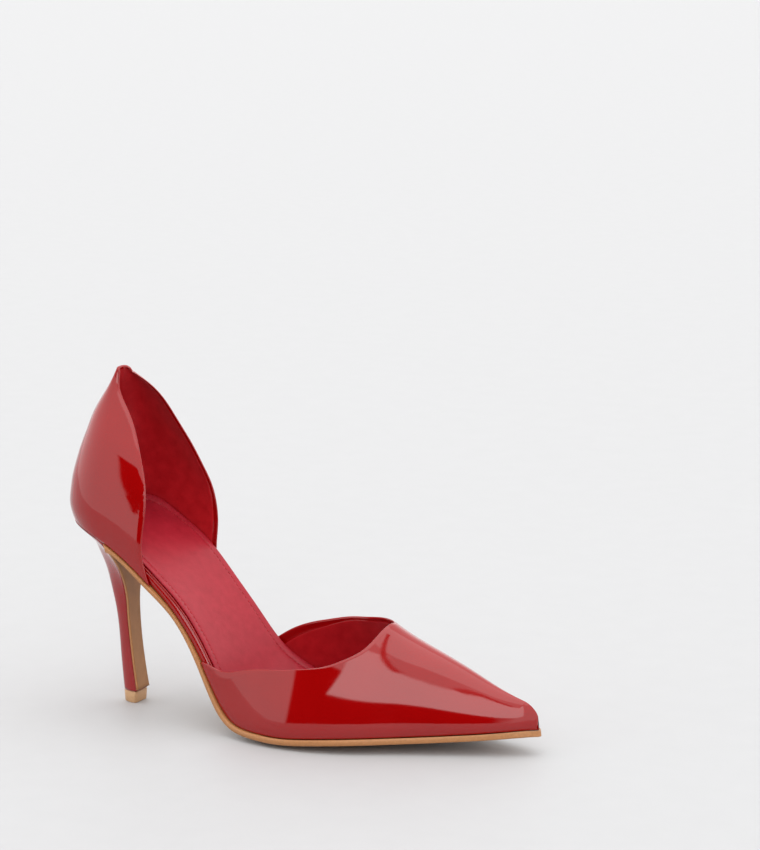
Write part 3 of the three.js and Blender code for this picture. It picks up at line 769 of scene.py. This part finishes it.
def layerPoint(share, across, grow, height, toeGap, inset):
    # Point of a ring that follows the outline, drawn in by the inset and rounded at both ends
    startX = lastSizes["seatSetIn"] + inset(0.0) - grow
    endX = length - toeGap + grow
    eased = (1 - np.cos(np.pi * share)) / 2
    x = mix(startX, endX, mix(share, eased, boardSizes["easing"]))
    back, toe = lastSizes["backRoundness"], lastSizes["toeRoundness"]
    roundness = (roundedEnd(x - startX, back - inset(0.0) + grow)
                 * roundedEnd(endX - x, toe + np.maximum(grow, -toe * 0.9)))
    held = np.clip(x, back, length - toe)
    middle = outlineY(held, 0, 0)
    edge = outlineY(held, 1, 0) - middle
    return levelPoint(x, middle + across * roundness * (edge - inset(x) + grow), height(x))


# Edge sections from the top's inner ring round the edge to the underside: how far out past the
# outline, height as a share of the thickness, and a height added in metres
boardEdge = [(-0.0040, 1, 0), (-0.0012, 1, 0), (-0.0004, 1, -0.00003), (-0.0001, 1, -0.00018),
             (0.00005, 1, -0.0004), (0.00002, 1, -0.00065), (-0.00022, 1, -0.0009),
             (-0.00022, 1, -0.00102), (0.0001, 1, -0.00125), (0.00025, 0.62, 0),
             (0.0003, 0.40, 0), (0.0002, 0.18, 0), (0.0, 0.06, 0), (-0.0004, 0, 0),
             (-0.0040, 0, 0)]
sockEdge = [(-0.0060, 1, 0), (-0.0042, 1, -0.00002), (-0.0036, 1, -0.00008),
            (-0.0032, 1, -0.0002), (-0.0030, 1, -0.0002), (-0.0026, 1, -0.0001),
            (-0.0018, 1, -0.00002), (-0.0009, 1, -0.00002), (-0.0004, 1, -0.0001),
            (-0.0001, 1, -0.0003), (0.0, 0.5, 0), (-0.0001, 0.25, 0), (-0.0003, 0.08, 0),
            (-0.0008, 0, 0), (-0.0060, 0, 0)]


def buildLayer(name, sizes, section, bottomAt, thicknessAt, inset, bulgeAt, cupAt, materials, node):
    side = len(section) - 1
    flat = sizes["acrossSteps"]
    columns = 2 * (side + flat)
    growOf = np.array([row[0] for row in section])
    shareOf = np.array([row[1] for row in section])
    liftOf = np.array([row[2] for row in section])

    def pointsAt(i, j):
        share = j / sizes["alongSteps"]
        place = i % columns
        onTop = place < flat
        right = (place >= flat) & (place < flat + side)
        below = (place >= flat + side) & (place < 2 * flat + side)
        ring = np.where(below, side, 2 * (flat + side) - place)
        ring = np.where(onTop, 0, np.where(right, place - flat, ring))
        across = np.where(onTop, 2 * place / flat - 1, np.where(right, 1, np.where(
            below, 1 - 2 * (place - flat - side) / flat, -1)))
        grow = growOf[ring]

        def height(x):
            thickness = thicknessAt(x)
            return bottomAt(x) + thickness * shareOf[ring] + liftOf[ring]

        laid = layerPoint(share, across, grow, height, sizes["toeGap"], inset)
        bulge = np.where(grow > -0.0004, bulgeAt(laid[:, 0]) * np.sin(np.pi * shareOf[ring]) ** 0.5, 0)
        laid[:, 1] += np.sign(across) * bulge * (shareOf[ring] < 1)
        laid[:, 2] += cupAt(laid[:, 0], laid[:, 1])
        return laid

    mesh = laidGrid(columns, sizes["alongSteps"], pointsAt, lambda i, j: 0)
    return finishPiece(mesh, name, materials, [node])


def waistBulge(x):
    return boardSizes["bulge"] * (1 - coverAt(x))


def sockInset(x):
    return sockSizes["inset"] + boardInset(x)


def buildStitches():
    # One row of short stitches a little inside the sock's edge
    s = stitchSizes
    shares = np.linspace(s["first"], s["last"], s["samples"])
    mesh = bmesh.new()
    count = 0
    for side in (-1, 1):
        line = layerPoint(shares, side, -sockSizes["stitchInset"],
                          lambda x: sockBottom(x) + sockSizes["thickness"] - s["sunk"],
                          sockSizes["toeGap"], sockInset)
        line[:, 2] += cupHeight(line[:, 0], line[:, 1])
        travelled = np.concatenate([[0], np.cumsum(np.linalg.norm(np.diff(line, axis=0), axis=1))])
        for start in np.arange(0, travelled[-1] - s["pitch"], s["pitch"]):
            ends = [np.array([np.interp(at, travelled, line[:, k]) for k in range(3)])
                    for at in (start, start + s["length"])]
            run = Vector(ends[1] - ends[0])
            middle = Vector((ends[0] + ends[1]) / 2) - Vector((lastSizes["originX"], 0, 0))
            turn = run.to_track_quat("Z", "Y").to_matrix().to_4x4()
            stretch = Matrix.Diagonal((1, 1, run.length / 2 / s["radius"], 1))
            bmesh.ops.create_uvsphere(mesh, u_segments=8, v_segments=6, radius=s["radius"],
                                      matrix=Matrix.Translation(middle) @ turn @ stretch)
            count += 1
    for face in mesh.faces:
        face.smooth = True
    print("stitches:", count)
    return finishPiece(mesh, "sockStitches", [thread])


# Heel, outsole and top piece
heelTip = heelSizes["topPieceHeight"] + gap
seatHalfWidth = ballWidth * float(last["medial"](0)) + upperReach - heelSizes["seatInset"]
seatBack = lastSizes["seatSetIn"] - upperReach + heelSizes["seatInset"]


def heelSection(up):
    return {"back": mix(seatBack, heelSizes["setIn"], heel["back"](up)),
            "front": mix(heelSizes["breast"], heelSizes["setIn"] + heelSizes["tipDepth"], heel["front"](up)),
            "half": mix(heelSizes["tipWidth"] / 2, seatHalfWidth, heel["width"](up)),
            "roundness": heel["roundness"](up)}


def sectionPlan(section, around):
    angle = np.abs(around) * np.pi / 2
    exponent = 2 / section["roundness"]
    x = section["front"] - (section["front"] - section["back"]) * power(np.cos(angle), exponent)
    return x, np.sign(around) * section["half"] * power(np.sin(angle), exponent)


def heelPoint(up, around):
    topX, topY = sectionPlan(heelSection(np.ones_like(up)), around)
    x, y = sectionPlan(heelSection(up), around)
    return points(x, y, mix(heelTip, levelZ(topX, topY, soleSizes["waist"]), up))


def breastPoint(up, across):
    section = heelSection(up)
    topHalf = heelSection(np.ones_like(up))["half"]
    z = mix(heelTip, levelZ(heelSizes["breast"] + 0 * up, across * topHalf, soleSizes["waist"]), up)
    return points(section["front"], across * section["half"], z)


def buildHeel():
    s = heelSizes
    around, flat, corner = s["aroundSteps"], s["breastSteps"], s["corner"]
    columns = around + flat + 2

    def pointsAt(i, j):
        up = j / s["upSteps"]
        place = i % columns
        onBack = place <= around
        turn = mix(-1 + corner, 1 - corner, np.clip(place / around, 0, 1))
        across = mix(1 - corner, -1 + corner, np.clip((place - around - 1) / flat, 0, 1))
        return np.where(onBack[:, None], heelPoint(up, turn), breastPoint(up, across))

    mesh = laidGrid(columns, s["upSteps"], pointsAt, lambda i, j: 0)
    return finishPiece(mesh, "heelCover", [patent], ["heel"])


def buildTopPiece():
    s = heelSizes
    around, flat = s["aroundSteps"], s["topPieceSteps"]
    columns = around + flat
    rounding = s["topPieceRounding"]
    levels = [(0.0, rounding), (0.15 * rounding, rounding * 0.4), (rounding, 0.0),
              (s["topPieceHeight"] - rounding * 0.5, 0.0), (s["topPieceHeight"], rounding * 0.5)]
    heights = np.array([level[0] for level in levels])
    insets = np.array([level[1] for level in levels])

    def pointsAt(i, j):
        height = heights[j]
        drawnIn = s["topPieceTaper"] * (1 - height / s["topPieceHeight"]) + insets[j]
        section = heelSection(np.zeros(len(i)))
        section["back"] = section["back"] + drawnIn
        section["front"] = section["front"] - drawnIn
        section["half"] = section["half"] - drawnIn
        place = i % columns
        turn = s["topPieceTurn"] * mix(-1, 1, np.clip(place / around, 0, 1))
        x, y = sectionPlan(section, turn)
        across = s["topPieceFlat"] * mix(1, -1, np.clip((place - around) / flat, 0, 1))
        onBack = place < around
        return points(np.where(onBack, x, section["front"]),
                      np.where(onBack, y, across * section["half"]), height)

    mesh = laidGrid(columns, len(levels) - 1, pointsAt, lambda i, j: 0)
    return finishPiece(mesh, "topPiece", [rubber], ["top_piece"])


bendEnd = heelSizes["breast"] + soleSizes["bendRun"]


def solePoint(x, across, underside):
    height = np.where(underside, 0, soleThickness(x))
    point = levelPoint(x, outlineY(x, across, soleReach(x)), height)
    point[..., 2] = np.where(underside, np.maximum(point[..., 2], 0), point[..., 2])
    return point


def buildOutsole():
    s = soleSizes
    flap, bend, along, flat = s["flapSteps"], s["bendSteps"], s["alongSteps"], s["acrossSteps"]
    rows = flap + 2 * bend + along
    edge = s["edgeSteps"]
    columns = 2 * (flat + edge)
    seatRise = lastSizes["seatHeight"] - heelTip
    flapStart = s["flapStep"] / seatRise
    soleEnd = length + upperReach + s["ledge"]

    def bendPoint(share, across, y):
        low = breastPoint(s["flapBend"] + 0 * share, across)
        lowX = low[..., 0] + gap + s["breast"]
        high = solePoint(bendEnd + 0 * share, across, True)
        cornerZ = solePoint(heelSizes["breast"] + 0 * share, across, True)[..., 2] - s["bendDepth"]
        keep = 1 - share
        x = keep ** 2 * lowX + 2 * keep * share * lowX + share ** 2 * high[..., 0]
        z = keep ** 2 * low[..., 2] + 2 * keep * share * cornerZ + share ** 2 * high[..., 2]
        return points(x, y, z)

    def faces(row, across):
        # Upper and lower face of the sole in a row
        onFlap = row <= flap
        onBend = (row > flap) & (row <= flap + bend)
        onTurn = (row > flap + bend) & (row <= flap + 2 * bend)
        up = np.where(onFlap, mix(flapStart, s["flapBend"], row / flap),
                      mix(s["flapBend"], 1, np.clip((row - flap) / bend, 0, 1)))
        front = breastPoint(up, across) + np.array([gap, 0, 0])
        turnX = mix(heelSizes["breast"] + gap, bendEnd, np.clip((row - flap - bend) / bend, 0, 1))
        share = np.clip((row - flap - 2 * bend) / along, 0, 1)
        soleX = mix(bendEnd, soleEnd, mix(share, np.sin(share * np.pi / 2), s["easing"]))
        x = np.where(onTurn, turnX, soleX)
        upper = np.where((onFlap | onBend)[:, None], front, solePoint(x, across, False))
        bent = np.clip((row - flap) / (2 * bend), 0, 1)
        bentY = np.where(onBend, front[:, 1], solePoint(turnX, across, True)[:, 1])
        lower = np.where(onFlap[:, None], front + np.array([s["breast"], 0, 0]),
                         np.where((onBend | onTurn)[:, None], bendPoint(bent, across, bentY),
                                  solePoint(x, across, True)))
        return upper, lower

    def pointsAt(i, j):
        place = i % columns
        onTop = place <= flat
        right = (place > flat) & (place < flat + edge)
        below = (place >= flat + edge) & (place <= 2 * flat + edge)
        across = np.where(onTop, 2 * place / flat - 1, np.where(right, 1, np.where(
            below, 1 - 2 * (place - flat - edge) / flat, -1))).astype(float)
        drawn = 1 - s["edgeDrawn"] * (np.abs(across) > 0.999) * (onTop | below)
        upper, lower = faces(j, across * drawn)
        down = np.where(right, (place - flat) / edge, (2 * flat + 2 * edge - place) / edge)[:, None]
        down = mix(s["edgeRound"], 1 - s["edgeRound"], (down * edge - 1) / (edge - 2))
        rounded = mix(upper, lower, down)
        return np.where(onTop[:, None], upper, np.where(below[:, None], lower, rounded))

    def slotAt(i, j):
        return 1 if flat + edge < i < 2 * flat + edge else 0

    mesh = laidGrid(columns, rows, pointsAt, slotAt)
    return finishPiece(mesh, "sole", [soleEdge, soleLeather], ["outsole"])


buildVamp()
buildQuarter()
buildLayer("board", boardSizes, boardEdge, boardBottom, boardThickness, boardInset, waistBulge,
           lambda x, y: 0 * x, [patent], "insole_board")
buildLayer("paddedSock", sockSizes, sockEdge, sockBottom, lambda x: sockSizes["thickness"] + 0 * x,
           sockInset, lambda x: 0 * x, cupHeight, [sockLeather], "sock")
buildStitches()
buildOutsole()
buildHeel()
buildTopPiece()

# Floor, light and camera
# The paper on the floor ends stageSizes["paperEdge"] in front of the shoe, on its outer side.
# Directions of the studio are in degrees: azimuth from the toe's direction towards the inner side,
# elevation above the floor. brightness is what each part of the studio sends out.
stageSizes = {"floor": 40.0, "paperEdge": 0.45}
studioSizes = {
    "walls": 1.45, "panel": 3.2, "ceiling": 2.4, "dark": 0.02, "seen": 0.87, "seam": 0.25,
    "darkFrom": -114.0, "darkTo": -63.0, "darkTop": 29.0,
    "panelFrom": -87.0, "panelSlant": 0.95, "panelTo": -48.0, "panelLow": 14.5, "ceilingLow": 58.0,
    "seamNormal": (-0.918, -0.133, 0.375), "seamHalf": 0.014, "seamFrom": -60.0, "seamTo": 25.0,
    "seamLow": 40.0, "soft": 1.5}
floorMesh = bmesh.new()
bmesh.ops.create_grid(floorMesh, x_segments=2, y_segments=2, size=stageSizes["floor"] / 2)
bmesh.ops.translate(floorMesh, verts=floorMesh.verts,
                    vec=(0, stageSizes["floor"] / 2 - stageSizes["paperEdge"], 0))
floorData = bpy.data.meshes.new("floor")
floorMesh.to_mesh(floorData)
floorMesh.free()
floor = bpy.data.objects.new("floor", floorData)
bpy.context.scene.collection.objects.link(floor)
floorData.materials.append(leatherMaterial("floorPaper", floorLooks, 900.0, 60.0, 0.00001))

world = bpy.data.worlds.new("studio")
bpy.context.scene.world = world
world.use_nodes = True


def makeStudio(sizes):
    # Brightness of the studio in a direction
    group, nodes, links, given, out = newGroup(
        "studioBrightness", [("Direction", "NodeSocketVector", None)], [("Brightness", "NodeSocketFloat")])
    soft = sizes["soft"]

    def maths(operation, *values, clamped=False):
        return mathNode(nodes, links, operation, *values, clamped=clamped)

    def above(value, edge):
        # 1 above the edge and 0 below it, with a soft change between
        return maths("ADD", maths("DIVIDE", maths("SUBTRACT", value, edge), soft), 0.5, clamped=True)

    def between(value, low, high):
        return maths("MULTIPLY", above(value, low), maths("SUBTRACT", 1.0, above(value, high)))

    split = nodes.new("ShaderNodeSeparateXYZ")
    links.new(given.outputs["Direction"], split.inputs[0])
    azimuth = maths("DEGREES", maths("ARCTAN2", split.outputs["Y"], split.outputs["X"]))
    elevation = maths("DEGREES", maths("ARCSINE", split.outputs["Z"]))
    panelEdge = maths("MULTIPLY_ADD", maths("SUBTRACT", elevation, sizes["panelLow"]),
                      sizes["panelSlant"], sizes["panelFrom"])
    panelSide = maths("MULTIPLY", above(elevation, sizes["panelLow"]), above(azimuth, panelEdge))
    panel = maths("MULTIPLY", panelSide, maths("SUBTRACT", 1.0, above(azimuth, sizes["panelTo"])))
    dark = maths("MULTIPLY", between(azimuth, sizes["darkFrom"], sizes["darkTo"]),
                 maths("SUBTRACT", 1.0, above(elevation, sizes["darkTop"])))
    dark = maths("MULTIPLY", dark, maths("SUBTRACT", 1.0, panelSide))
    ceiling = above(elevation, sizes["ceilingLow"])
    across = nodes.new("ShaderNodeVectorMath")
    across.operation = "DOT_PRODUCT"
    links.new(given.outputs["Direction"], across.inputs[0])
    across.inputs[1].default_value = sizes["seamNormal"]
    away = maths("DIVIDE", maths("ABSOLUTE", across.outputs["Value"]), sizes["seamHalf"])
    seam = maths("MULTIPLY", maths("SUBTRACT", 1.0, maths("POWER", away, 4.0), clamped=True),
                 maths("MULTIPLY", between(azimuth, sizes["seamFrom"], sizes["seamTo"]),
                       above(elevation, sizes["seamLow"])))

    def towards(value, brightness, share):
        # value moved to the brightness by the share
        return maths("MULTIPLY_ADD", maths("SUBTRACT", brightness, value), share, value)

    lit = towards(sizes["walls"], sizes["panel"], panel)
    lit = towards(lit, sizes["ceiling"], ceiling)
    lit = towards(lit, sizes["seam"], seam)
    lit = towards(lit, sizes["dark"], dark)
    links.new(lit, out.inputs["Brightness"])
    return group


background = world.node_tree.nodes["Background"]
studioNode = world.node_tree.nodes.new("ShaderNodeGroup")
studioNode.node_tree = makeStudio(studioSizes)
directions = world.node_tree.nodes.new("ShaderNodeTexCoord")
world.node_tree.links.new(directions.outputs["Generated"], studioNode.inputs["Direction"])
rays = world.node_tree.nodes.new("ShaderNodeLightPath")
seen = world.node_tree.nodes.new("ShaderNodeMix")
world.node_tree.links.new(rays.outputs["Is Camera Ray"], seen.inputs["Factor"])
world.node_tree.links.new(studioNode.outputs["Brightness"], seen.inputs["A"])
seen.inputs["B"].default_value = studioSizes["seen"]
world.node_tree.links.new(seen.outputs["Result"], background.inputs["Strength"])
background.inputs["Color"].default_value = (1, 1, 1, 1)
print("stage and light ready")

cameraSizes = {"distance": 1.36197, "azimuth": 27.89, "elevation": 11.25, "roll": -0.28,
               "target": (0.1344, 0.0, 0.14637), "focalPixels": 3024.77, "sensor": 36.0,
               "photoHeight": 850}


def placeCamera(sizes):
    azimuth, elevation = math.radians(sizes["azimuth"]), math.radians(sizes["elevation"])
    roll = math.radians(sizes["roll"])
    back = Vector((math.sin(azimuth) * math.cos(elevation), -math.cos(azimuth) * math.cos(elevation),
                   math.sin(elevation)))
    right = Vector((math.cos(azimuth), math.sin(azimuth), 0))
    upward = back.cross(right)
    rolledRight = right * math.cos(roll) + upward * math.sin(roll)
    rolledUp = upward * math.cos(roll) - right * math.sin(roll)
    data = bpy.data.cameras.new("camera")
    data.sensor_width = sizes["sensor"]
    data.lens = sizes["focalPixels"] * sizes["sensor"] / sizes["photoHeight"]
    camera = bpy.data.objects.new("camera", data)
    bpy.context.scene.collection.objects.link(camera)
    turn = Matrix((rolledRight, rolledUp, back)).transposed().to_4x4()
    camera.matrix_world = Matrix.Translation(Vector(sizes["target"]) + back * sizes["distance"]) @ turn
    bpy.context.scene.camera = camera


placeCamera(cameraSizes)
bpy.context.scene.view_settings.view_transform = "Standard"
